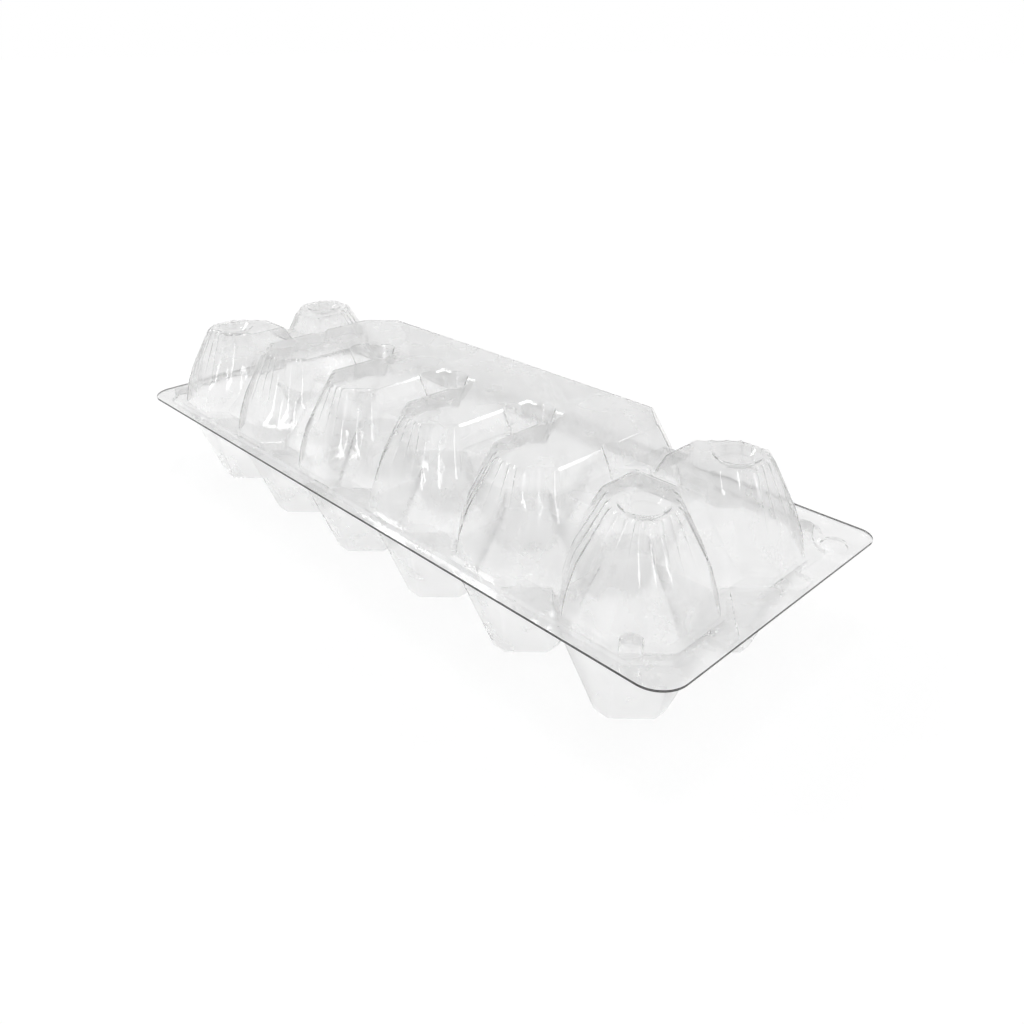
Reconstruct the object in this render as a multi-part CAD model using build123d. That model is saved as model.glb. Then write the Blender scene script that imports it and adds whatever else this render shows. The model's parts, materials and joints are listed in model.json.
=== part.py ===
from build123d import *
import os
from math import cos, radians, sin, sqrt, tan

os.makedirs("parts", exist_ok=True)

# Sheet and overall sizes, in millimetres
SHEET = 0.4
OVERCUT = 1.0
LENGTH = 304.0
FRONT = 55.0
BACK = 67.0
CORNER_FRONT = 10.0
CORNER_BACK = 7.0

# Egg cells: two rows of six
COLUMNS = 6
PITCH = 47.0
ROWS = 48.0

# Base cups: opening at the flange and flat foot
CUP_DEPTH = 37.5
CUP_SIDE = 24.4
CUP_DIAGONAL = 25.6
FOOT_SIDE = 13.0
FOOT_DIAGONAL = 11.2

# Lid domes: distance of each side from the egg axis at the foot, low belly, high belly and top
DOME_RISE = 34.0
BELLY_LOW = 9.0
BELLY_HIGH = 17.5
DOME_FRONT = (25.2, 22.6, 19.0, 11.0)
DOME_DIAGONAL = (24.0, 22.5, 19.7, 11.5)
DOME_SIDE = (23.4, 23.0, 21.2, 15.0)
CORNER_EXTRA = 1.2
RIM = 0.8
FLUTES = 3
FLUTE_SAG = 0.8

# Label plateau over the middle columns
PLATEAU_FRONT = 16.0
PLATEAU_BACK = 12.4

# Channels between the domes and the pockets in them
CHANNEL_DEPTH = 7.5
SADDLE_TOP = 1.6
SADDLE_FOOT = 19.0
POCKET = 9.2
POCKET_ROUND = 1.5
POCKET_DROP = 1.0
DRAFT = 20.0

# Round dimples in the corner domes
DIMPLE_RADIUS = 7.6
DIMPLE_DEPTH = 2.0

# Raised ledge around the domes
LEDGE_RISE = 2.0
LEDGE_END = 7.0
LEDGE_FRONT = 3.0
LEDGE_BACK = 11.0
LEDGE_CORNER = 10.0
SHOULDER = 24.0
SHOULDER_END = 1.0
END_NOTCH = 16.0
END_NOTCH_HALF = 19.5
END_NOTCH_ROUND = 4.0

# Round buttons on the flange beside the back corners of the ledge
BUTTON_X = 8.0
BUTTON_Y = 17.5
BUTTON_RADIUS = 5.0
BUTTON_TOP = 4.0
BUTTON_RISE = 1.5
BUTTON_GAP = 1.2

# Hollow pegs on the corners of the ledge
PEG_X = 16.0
PEG_Y = 22.5
PEG_RADIUS = 3.9
PEG_TOP = 3.5
PEG_RISE = 5.5

half_length = LENGTH / 2
half_rows = ROWS / 2
end_axis = PITCH * (COLUMNS - 1) / 2
inner_axis = end_axis - PITCH
channel_floor = DOME_RISE - CHANNEL_DEPTH
pocket_floor = channel_floor - POCKET_DROP
lean = tan(radians(DRAFT))
columns = [PITCH * (i - (COLUMNS - 1) / 2) for i in range(COLUMNS)]
gaps = [PITCH * (i - COLUMNS / 2) for i in range(1, COLUMNS)]
signs = (-1, 1)


def crossing(first, second):
    """Point where two lines meet, each an angle in degrees and a distance from the origin."""
    a, b = radians(first[0]), radians(second[0])
    scale = sin(b - a)
    x = (first[1] * sin(b) - second[1] * sin(a)) / scale
    y = (second[1] * cos(a) - first[1] * cos(b)) / scale
    return x, y


def outline(sides, z, sag):
    """Edges of a closed outline of straight sides, each cut into as many flutes as it states."""
    edges = []
    for i, (angle, distance, flutes) in enumerate(sides):
        start = crossing(sides[i - 1], sides[i])
        end = crossing(sides[i], sides[(i + 1) % len(sides)])
        inward = (-cos(radians(angle)) * sag, -sin(radians(angle)) * sag)
        count = max(flutes, 1)
        for n in range(count):
            p = [s + (e - s) * n / count for s, e in zip(start, end)]
            q = [s + (e - s) * (n + 1) / count for s, e in zip(start, end)]
            if flutes and sag:
                middle = [(u + v) / 2 + w for u, v, w in zip(p, q, inward)]
                edges.append(Edge.make_three_point_arc((*p, z), (*middle, z), (*q, z)))
            else:
                edges.append(Edge.make_line((*p, z), (*q, z)))
    return edges


def wall(lower, upper):
    """Face between two edges of neighbouring outlines: flat if both are straight, else ruled."""
    if lower.geom_type == GeomType.LINE and upper.geom_type == GeomType.LINE:
        return Face(Wire.make_polygon([lower @ 0, lower @ 1, upper @ 1, upper @ 0]))
    return Face.make_surface_from_curves(lower, upper)


def run_on(levels):
    """Outline that carries the lowest walls of a hollow straight on, past the flange."""
    (z, sides, sag), (next_z, next_sides, next_sag) = levels[:2]
    share = OVERCUT / (next_z - z)
    lower = [(a, d + (d - e) * share, n) for (a, d, n), (b, e, m) in zip(sides, next_sides)]
    return z - OVERCUT, lower, sag


def tapered(levels, inset, hollow=False):
    """Solid through stacked outlines, each a height, its sides and its flute depth."""
    if hollow:
        levels = [run_on(levels)] + levels
    rings = []
    for z, sides, sag in levels:
        moved = [(angle, distance - inset, flutes) for angle, distance, flutes in sides]
        rings.append(outline(moved, z, sag))
    faces = [Face(Wire(rings[0])), Face(Wire(rings[-1]))]
    for lower, upper in zip(rings, rings[1:]):
        faces += [wall(a, b) for a, b in zip(lower, upper)]
    return Solid(Shell(faces))


def boss(radius, top, rise, inset):
    """Round boss that narrows upwards from the flange."""
    drop = OVERCUT if inset else 0.0
    foot = radius + (radius - top) * drop / rise
    return Pos(0, 0, -drop) * Solid.make_cone(foot - inset, top - inset, rise - inset + drop)


def dome(shape, inset):
    """Fluted body whose sides are given level by level, with a softened rim at the top."""
    rim = [(angle, distance - RIM, flutes) for angle, distance, flutes in shape(3)]
    levels = [
        (0.0, shape(0), 0.0),
        (BELLY_LOW, shape(1), 0.0),
        (BELLY_HIGH, shape(2), FLUTE_SAG / 2),
        (DOME_RISE - RIM - inset / 2, shape(3), FLUTE_SAG),
        (DOME_RISE - inset, rim, FLUTE_SAG),
    ]
    return tapered(levels, inset, inset > 0)


def front_dome(inset):
    """Fluted dome of the front row that runs back into the label plateau."""
    def shape(level):
        side, slant, front = DOME_SIDE[level], DOME_DIAGONAL[level], DOME_FRONT[level]
        return [
            (0, side, 0),
            (90, ROWS, 0),
            (180, side, 0),
            (225, slant, FLUTES),
            (270, front, FLUTES),
            (315, slant, FLUTES),
        ]
    return dome(shape, inset)


def corner_dome(inset):
    """Free-standing fluted dome at the front right corner, with a round dimple."""
    def shape(level):
        side, slant, front = DOME_SIDE[level] + CORNER_EXTRA, DOME_DIAGONAL[level], DOME_FRONT[level]
        return [
            (0, front, FLUTES),
            (45, slant, FLUTES),
            (90, side, 0),
            (180, side, 0),
            (225, slant, FLUTES),
            (270, front, FLUTES),
            (315, slant, FLUTES),
        ]
    floor = DOME_RISE - DIMPLE_DEPTH - inset
    narrow = DIMPLE_RADIUS - DIMPLE_DEPTH + inset
    deep = DIMPLE_DEPTH + OVERCUT
    cut = Solid.make_cone(narrow, narrow + deep, deep)
    return dome(shape, inset) - Pos(0, 0, floor) * cut


def plateau(inset):
    """Long plain body under the label, over the back row's middle columns."""
    def shape(level):
        along = inner_axis + DOME_SIDE[level]
        slant = inner_axis * cos(radians(45)) + DOME_DIAGONAL[level]
        front = PLATEAU_FRONT + DOME_SIDE[level] - DOME_SIDE[-1]
        back = PLATEAU_BACK + DOME_FRONT[level] - DOME_FRONT[-1]
        return [
            (0, along, 0),
            (45, slant, 0),
            (90, back, 0),
            (135, slant, 0),
            (180, along, 0),
            (270, front, 0),
        ]
    return dome(shape, inset)


def saddle(inset):
    """Block between all the domes, whose top is the floor of the channels."""
    def shape(spread):
        x, y = end_axis + spread, half_rows + spread
        return [(0, x, 0), (90, y, 0), (180, x, 0), (270, y, 0)]
    levels = [(0.0, shape(SADDLE_FOOT), 0.0), (channel_floor - inset, shape(SADDLE_TOP), 0.0)]
    return tapered(levels, inset, inset > 0)


def pocket(inset):
    """Rounded diamond sunk between four cells, wider at the top."""
    depth = DOME_RISE - pocket_floor
    size = 2 * (POCKET - lean * depth + inset)
    sketch = Rot(0, 0, 45) * RectangleRounded(size, size, POCKET_ROUND)
    cut = extrude(sketch, amount=depth + OVERCUT, taper=-DRAFT)
    return Pos(0, 0, pocket_floor - inset) * cut


def ledge(inset):
    """Raised step around the domes, cut away at the corners and the end notches."""
    drop = OVERCUT if inset else 0.0
    drawn = inset - lean * drop
    x = half_length - LEDGE_END - drawn
    front = FRONT - LEDGE_FRONT - drawn
    back = BACK - LEDGE_BACK - drawn
    cut = LEDGE_CORNER + drawn * (sqrt(2) - 2)
    points = []
    for sx, sy in ((-1, -1), (1, -1), (1, 1), (-1, 1)):
        y = back if sy > 0 else -front
        pair = [(sx * x, y - sy * cut), (sx * (x - cut), y)]
        points += pair if sx * sy > 0 else pair[::-1]
    sketch = make_face(Polyline(*points, close=True))
    sketch += Rectangle(2 * (half_length - SHOULDER_END - drawn), 2 * (SHOULDER - drawn))
    tip = half_length - END_NOTCH - drawn * sqrt(2)
    reach = half_length + OVERCUT
    half = END_NOTCH_HALF * (reach - tip) / END_NOTCH
    for s in signs:
        notch = make_face(Polyline((s * tip, 0), (s * reach, -half), (s * reach, half), close=True))
        point = notch.vertices().sort_by_distance((s * tip, 0))[0]
        sketch -= fillet(point, END_NOTCH_ROUND + drawn)
        spot = Pos(s * (half_length - BUTTON_X), BACK - BUTTON_Y)
        sketch -= spot * Circle(BUTTON_RADIUS + BUTTON_GAP + drawn)
    return Pos(0, 0, -drop) * extrude(sketch, amount=LEDGE_RISE - inset + drop, taper=DRAFT)


def lid_form(inset):
    """The lid as a block, drawn in by the sheet thickness for its hollow side."""
    pieces = [saddle(inset), plateau(inset).moved(Location((0, half_rows, 0)))]
    front = front_dome(inset)
    for x in columns[1:-1]:
        pieces.append(front.moved(Location((x, -half_rows, 0))))
    corner = corner_dome(inset)
    peg = boss(PEG_RADIUS, PEG_TOP, PEG_RISE, inset)
    button = boss(BUTTON_RADIUS, BUTTON_TOP, BUTTON_RISE, inset)
    for sx in signs:
        pieces.append(button.moved(Location((sx * (half_length - BUTTON_X), BACK - BUTTON_Y, 0))))
        for sy in signs:
            turned = corner
            if sx < 0:
                turned = turned.mirror(Plane.YZ)
            if sy > 0:
                turned = turned.mirror(Plane.XZ)
            pieces.append(turned.moved(Location((sx * end_axis, sy * half_rows, 0))))
            spot = (sx * (end_axis + PEG_X), sy * (half_rows + PEG_Y), 0)
            pieces.append(peg.moved(Location(spot)))
    whole = ledge(inset) + pieces
    return whole - [pocket(inset).moved(Location((x, 0, 0))) for x in gaps]


def flange(low):
    """Flat rim of one half, with rounded corners."""
    sketch = Pos(0, (BACK - FRONT) / 2) * Rectangle(LENGTH, FRONT + BACK)
    ends = sketch.vertices().group_by(Axis.Y)
    sketch = fillet(ends[0], CORNER_FRONT)
    sketch = fillet(sketch.vertices().group_by(Axis.Y)[-1], CORNER_BACK)
    return Pos(0, 0, low) * extrude(sketch, amount=SHEET)


def cup(grow):
    """Egg cup from the flange down to its flat foot."""
    def shape(side, slant):
        return [(45 * k, side if k % 2 == 0 else slant, 0) for k in range(8)]
    levels = [(-CUP_DEPTH + SHEET - grow, shape(FOOT_SIDE, FOOT_DIAGONAL), 0.0)]
    levels.append((0.0, shape(CUP_SIDE, CUP_DIAGONAL), 0.0))
    return tapered(levels, -grow)


lid = flange(0) + lid_form(0) - lid_form(SHEET)

cells = [Location((x, sy * half_rows, 0)) for x in columns for sy in signs]
base = flange(-SHEET) + [cup(SHEET).moved(spot) for spot in cells]
base = base - [cup(0).moved(spot) for spot in cells]

# The stored frame has its origin under the middle of the tray, on the feet
place = Pos(0, (FRONT - BACK) / 2, CUP_DEPTH)
export_step(place * base, "parts/base_tray.step")
export_step(place * lid, "parts/lid.step")
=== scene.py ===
import bmesh
import bpy
import json
from math import cos, radians, sin
from mathutils import Matrix, Vector


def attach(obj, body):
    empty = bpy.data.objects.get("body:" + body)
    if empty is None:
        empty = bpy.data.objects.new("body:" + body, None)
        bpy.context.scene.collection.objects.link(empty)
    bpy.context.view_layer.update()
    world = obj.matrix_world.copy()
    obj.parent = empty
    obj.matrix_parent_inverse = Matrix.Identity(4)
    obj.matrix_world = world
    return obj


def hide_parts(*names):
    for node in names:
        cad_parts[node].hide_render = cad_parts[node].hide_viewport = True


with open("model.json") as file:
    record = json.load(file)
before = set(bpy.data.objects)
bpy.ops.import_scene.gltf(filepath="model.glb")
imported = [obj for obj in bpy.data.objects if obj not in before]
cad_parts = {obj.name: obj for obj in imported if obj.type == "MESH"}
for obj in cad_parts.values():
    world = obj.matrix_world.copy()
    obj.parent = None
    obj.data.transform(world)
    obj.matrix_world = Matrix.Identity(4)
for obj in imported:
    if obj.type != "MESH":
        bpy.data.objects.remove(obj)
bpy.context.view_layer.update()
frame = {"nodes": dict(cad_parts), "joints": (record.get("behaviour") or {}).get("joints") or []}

MM = 0.001

# The formed sheet: its thickness, the air between lid and base, and the plane where they meet
SHEET = 0.4 * MM
AIR = 0.05 * MM
WELD = 0.004 * MM
FLANGE = frame["joints"][0]["pos_m"][2]

# The cut edge: how near to the flange its faces lie, how upright they are, and the near-black greys of its
# painted shade
RIM_REACH, UPRIGHT = 1.1 * SHEET, 0.1
RIM_PAINTED_SHADES = ((0.35, 0.004), (0.75, 0.06))

# Bends: the rounding's width and steps, and the angles that count as flat, as a bend and as sharp once rounded
BEND, BEND_STEPS = 0.9 * MM, 4
FLAT, FOLD, ROUNDED_FOLD = radians(0.3), radians(16), radians(30)

# Marks of forming: ripples and clouds per metre, the ripples' height, and the clouds' thin and thick levels
RIPPLES, CLOUDS, RIPPLE_HEIGHT = 150.0, 60.0, 0.4 * MM
THIN_CLOUD, THICK_CLOUD = 0.3, 0.7

# How far the sheet is drawn from the flange, and where along that its flat, walls and crowns begin and end
DEEPEST = 40 * MM
FLANGE_END, WALL_START, WALL_END, CROWN = 0.0125, 0.15, 0.76, 0.84

# The white floor: half its side, its drop below the feet, and its brightness near the tray and far away
FLOOR_HALF, FLOOR_DROP = 6.0, 0.2 * MM
FLOOR_GREY = (0.1, 0.1, 0.1, 1)
NEAR, FAR, NEAR_WHITE, FAR_WHITE = 0.25, 1.2, 0.9, 0.97

# The lamps: place, width, height and power
LAMPS = {
    "key": ((-1.25, -0.95, 1.22), 0.4, 0.4, 5),
    "high_left": ((-1.0, -0.18, 1.2), 0.35, 0.35, 4),
    "high_right": ((0.6, 1.0, 1.15), 0.35, 0.35, 4),
    "overhead": ((0, 0, 1.6), 0.3, 0.3, 6),
    "front_strip": ((0.653, -1.228, 0.56), 0.12, 0.9, 1.8),
}
LAMP_AIM = Vector((0, 0, 0.03))

# The sky's levels, from the horizon up
SKY = ((0.22, 1.0), (0.7, 0.5))

# The photograph's camera: angles in degrees, lengths in millimetres, focal length in pixels
AZIMUTH, ELEVATION, ROLL = 45.55, 28.93, 0.21
DISTANCE, ACROSS, DOWN = 358.61, 26.94, 21.79
AIM = (0.0, -6.0, 37.5)
FOCAL, PICTURE, SENSOR = 881.35, 1024, 36.0


def trimmed(face):
    """Whether a face is the cut edge of the flange."""
    thin = all(abs(v.co.z - FLANGE) < RIM_REACH for v in face.verts)
    return thin and abs(face.normal.z) < UPRIGHT


def round_bends(bm):
    """Rounds every bend of the sheet and leaves its cut edge square."""
    bmesh.ops.dissolve_limit(bm, angle_limit=FLAT, verts=bm.verts, edges=bm.edges)
    bm.normal_update()
    bends = [e for e in bm.edges
             if e.calc_face_angle(0.0) > FOLD and not any(trimmed(f) for f in e.link_faces)]
    bmesh.ops.bevel(bm, geom=bends, offset=BEND, offset_type="OFFSET", affect="EDGES",
                    segments=BEND_STEPS, profile=0.5, material=-1, clamp_overlap=True)
    bm.normal_update()


def formed_sheet(name, node, body, finish, rim, lift=0.0, rounded=False):
    """The node's sheet welded into one closed skin, its trimmed rim in a material of its own, painted near
    black as a painted shade.
    """
    bm = bmesh.new()
    bm.from_mesh(frame["nodes"][node].data)
    bmesh.ops.remove_doubles(bm, verts=bm.verts, dist=WELD)
    bm.normal_update()
    if rounded:
        round_bends(bm)
    for face in bm.faces:
        face.smooth = True
        # The cut edge gets the second material, painted near black as a painted shade
        face.material_index = 1 if trimmed(face) else 0
    for edge in bm.edges:
        edge.smooth = edge.calc_face_angle(0.0) < (ROUNDED_FOLD if rounded else FOLD)
    touching = [v for v in bm.verts if abs(v.co.z - FLANGE) < WELD]
    bmesh.ops.translate(bm, verts=touching, vec=(0, 0, lift))
    mesh = bpy.data.meshes.new(name)
    bm.to_mesh(mesh)
    bm.free()
    mesh.materials.append(finish)
    mesh.materials.append(rim)
    piece = bpy.data.objects.new(name, mesh)
    bpy.context.scene.collection.objects.link(piece)
    if rounded:
        even = piece.modifiers.new("even_faces", "WEIGHTED_NORMAL")
        even.keep_sharp = True
    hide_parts(node)
    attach(piece, body)


def blank(name):
    """An empty material and its node tree."""
    material = bpy.data.materials.new(name)
    material.use_nodes = True
    material.node_tree.nodes.clear()
    return material, material.node_tree


def add(tree, kind, settings=None, **values):
    """A node with its settings and the values of its sockets."""
    node = tree.nodes.new("ShaderNode" + kind)
    for key, value in (settings or {}).items():
        setattr(node, key, value)
    for key, value in values.items():
        node.inputs[key.replace("_", " ")].default_value = value
    return node


def join(tree, node, output, to, socket):
    """A link from one node's output to another's socket, by name or number."""
    tree.links.new(node.outputs[output], to.inputs[socket])


def greys(tree, *stops):
    """A ramp through greys, each stop a place and a level."""
    ramp = add(tree, "ValToRGB")
    places = ramp.color_ramp.elements
    for _ in stops[2:]:
        places.new(1.0)
    for stop, (place, level) in zip(places, stops):
        stop.position = place
        stop.color = (level, level, level, 1)
    return ramp


def clear_sheet(name, flat, wall, crown, haze, veil, gloss):
    """Clear glossy sheet, rippled and clouded by forming, its tint greyer the further it stands from the
    flange.
    """
    material, tree = blank(name)
    out = add(tree, "OutputMaterial")
    body = add(tree, "BsdfPrincipled", Transmission_Weight=1.0 - veil, IOR=1.05,
               Coat_Weight=gloss, Coat_IOR=1.6, Coat_Roughness=0.08)
    join(tree, body, "BSDF", out, "Surface")
    place = add(tree, "TexCoord")
    ripple = add(tree, "TexNoise", Scale=RIPPLES, Detail=3.0)
    cloud = add(tree, "TexNoise", Scale=CLOUDS, Detail=4.0, Roughness=0.6)
    for pattern in (ripple, cloud):
        join(tree, place, "Object", pattern, "Vector")

    surface = add(tree, "Bump", Strength=0.15, Distance=RIPPLE_HEIGHT)
    join(tree, ripple, "Fac", surface, "Height")
    join(tree, surface, "Normal", body, "Normal")
    join(tree, surface, "Normal", body, "Coat Normal")

    blur = add(tree, "MapRange", From_Min=THIN_CLOUD, From_Max=THICK_CLOUD,
               To_Min=0.7 * haze, To_Max=1.3 * haze)
    join(tree, cloud, "Fac", blur, "Value")
    join(tree, blur, "Result", body, "Roughness")

    height = add(tree, "SeparateXYZ")
    join(tree, place, "Object", height, 0)
    depth = add(tree, "Math", {"operation": "SUBTRACT"})
    depth.inputs[1].default_value = FLANGE
    join(tree, height, "Z", depth, 0)
    draw = add(tree, "Math", {"operation": "ABSOLUTE"})
    join(tree, depth, 0, draw, 0)
    reach = add(tree, "MapRange", From_Max=DEEPEST)
    join(tree, draw, 0, reach, "Value")
    # Tint greyer the further the sheet stands from the flange: clearest at the flange, greyer on walls,
    # greyest on crowns
    grey_by_depth = greys(tree, (FLANGE_END, flat), (WALL_START, wall), (WALL_END, wall), (CROWN, crown))
    join(tree, reach, "Result", grey_by_depth, "Fac")
    mottle = add(tree, "MapRange", From_Min=THIN_CLOUD, From_Max=THICK_CLOUD,
                 To_Min=0.95, To_Max=1.03)
    join(tree, cloud, "Fac", mottle, "Value")
    colour = add(tree, "Math", {"operation": "MULTIPLY", "use_clamp": True})
    join(tree, grey_by_depth, "Color", colour, 0)
    join(tree, mottle, "Result", colour, 1)
    join(tree, colour, 0, body, "Base Color")
    return material


def painted_shade_edge():
    """Cut edge of the sheet, painted near black: a painted shade for the dark line that the clear edge shows
    as it gathers light from along the sheet.
    """
    material, tree = blank("painted_shade_edge")
    out = add(tree, "OutputMaterial")
    body = add(tree, "BsdfPrincipled", Roughness=0.35, Specular_IOR_Level=0.15)
    join(tree, body, "BSDF", out, "Surface")
    place = add(tree, "TexCoord")
    patch = add(tree, "TexNoise", Scale=CLOUDS, Detail=2.0)
    join(tree, place, "Object", patch, "Vector")
    # Painted shade: near-black greys in patches, standing in for the dark line along the cut edge
    shade = greys(tree, *RIM_PAINTED_SHADES)
    join(tree, patch, "Fac", shade, "Fac")
    join(tree, shade, "Color", body, "Base Color")
    return material


def white_floor():
    """Pale floor that the camera sees as white paper."""
    bm = bmesh.new()
    bmesh.ops.create_grid(bm, x_segments=1, y_segments=1, size=FLOOR_HALF)
    bmesh.ops.translate(bm, verts=bm.verts, vec=(0, 0, -FLOOR_DROP))
    mesh = bpy.data.meshes.new("floor")
    bm.to_mesh(mesh)
    bm.free()
    floor = bpy.data.objects.new("floor", mesh)
    bpy.context.scene.collection.objects.link(floor)
    paper, tree = blank("white_paper")
    out = add(tree, "OutputMaterial")
    both = add(tree, "AddShader")
    matt = add(tree, "BsdfDiffuse", Color=FLOOR_GREY)
    glow = add(tree, "Emission")
    path = add(tree, "LightPath")
    direct = add(tree, "Math", {"operation": "MAXIMUM"})
    seen = add(tree, "Math", {"operation": "MAXIMUM"})
    level = add(tree, "Math", {"operation": "MULTIPLY"})
    place = add(tree, "TexCoord")
    away = add(tree, "VectorMath", {"operation": "LENGTH"})
    white = add(tree, "MapRange", From_Min=NEAR, From_Max=FAR, To_Min=NEAR_WHITE, To_Max=FAR_WHITE)
    join(tree, place, "Object", away, 0)
    join(tree, away, "Value", white, "Value")
    join(tree, white, "Result", level, 1)
    join(tree, path, "Is Camera Ray", direct, 0)
    join(tree, path, "Is Glossy Ray", direct, 1)
    join(tree, direct, 0, seen, 0)
    join(tree, path, "Is Transmission Ray", seen, 1)
    join(tree, seen, 0, level, 0)
    join(tree, level, 0, glow, "Strength")
    join(tree, matt, 0, both, 0)
    join(tree, glow, 0, both, 1)
    join(tree, both, 0, out, "Surface")
    mesh.materials.append(paper)


def studio_sky():
    """White at the horizon, grey overhead."""
    world = bpy.data.worlds.new("studio")
    bpy.context.scene.world = world
    world.use_nodes = True
    tree = world.node_tree
    tree.nodes.clear()
    out = add(tree, "OutputWorld")
    sky = add(tree, "Background")
    height = add(tree, "SeparateXYZ")
    place = add(tree, "TexCoord")
    ramp = greys(tree, *SKY)
    join(tree, place, "Generated", height, 0)
    join(tree, height, "Z", ramp, "Fac")
    join(tree, ramp, "Color", sky, "Color")
    join(tree, sky, 0, out, "Surface")


def lamp(name, spot, wide, high, power):
    """Rectangular studio lamp that faces the tray."""
    data = bpy.data.lights.new(name, "AREA")
    data.shape = "RECTANGLE"
    data.size = wide
    data.size_y = high
    data.energy = power
    light = bpy.data.objects.new(name, data)
    light.location = spot
    light.rotation_euler = (LAMP_AIM - Vector(spot)).to_track_quat("-Z", "Y").to_euler()
    bpy.context.scene.collection.objects.link(light)


def photo_camera():
    """Camera at the photograph's angle, for a square picture."""
    az, el, roll = radians(AZIMUTH), radians(ELEVATION), radians(ROLL)
    back = Vector((sin(az) * cos(el), -cos(az) * cos(el), sin(el)))
    right = Vector((cos(az), sin(az), 0))
    up = back.cross(right)
    across = right * cos(roll) + up * sin(roll)
    upward = up * cos(roll) - right * sin(roll)
    eye = back * DISTANCE + across * ACROSS - upward * DOWN + Vector(AIM)
    data = bpy.data.cameras.new("camera")
    data.sensor_width = SENSOR
    data.lens = SENSOR * FOCAL / PICTURE
    data.clip_start = 0.01
    data.clip_end = 50
    camera = bpy.data.objects.new("camera", data)
    turn = Matrix((across, upward, back)).transposed().to_4x4()
    camera.matrix_world = Matrix.Translation(eye * MM) @ turn
    bpy.context.scene.collection.objects.link(camera)
    bpy.context.scene.camera = camera


# The cut edge's material, painted near black: a painted shade
rim = painted_shade_edge()
lid_finish = clear_sheet("clear_lid_sheet", flat=0.985, wall=0.915, crown=0.89,
                         haze=0.25, veil=0.03, gloss=0.8)
base_finish = clear_sheet("clear_base_sheet", flat=0.98, wall=0.975, crown=0.97,
                          haze=0.3, veil=0.01, gloss=0.35)
formed_sheet("lid_sheet", "lid", "lid", lid_finish, rim, lift=AIR)
formed_sheet("base_sheet", "base_tray", "base", base_finish, rim, rounded=True)

white_floor()
studio_sky()
for name, setting in LAMPS.items():
    lamp(name, *setting)
photo_camera()

# Enough bounces for light to pass through all the skins behind each other
scene = bpy.context.scene
scene.view_settings.view_transform = "Standard"
scene.cycles.max_bounces = 28
scene.cycles.transmission_bounces = 28
scene.cycles.glossy_bounces = 16
scene.cycles.transparent_max_bounces = 64
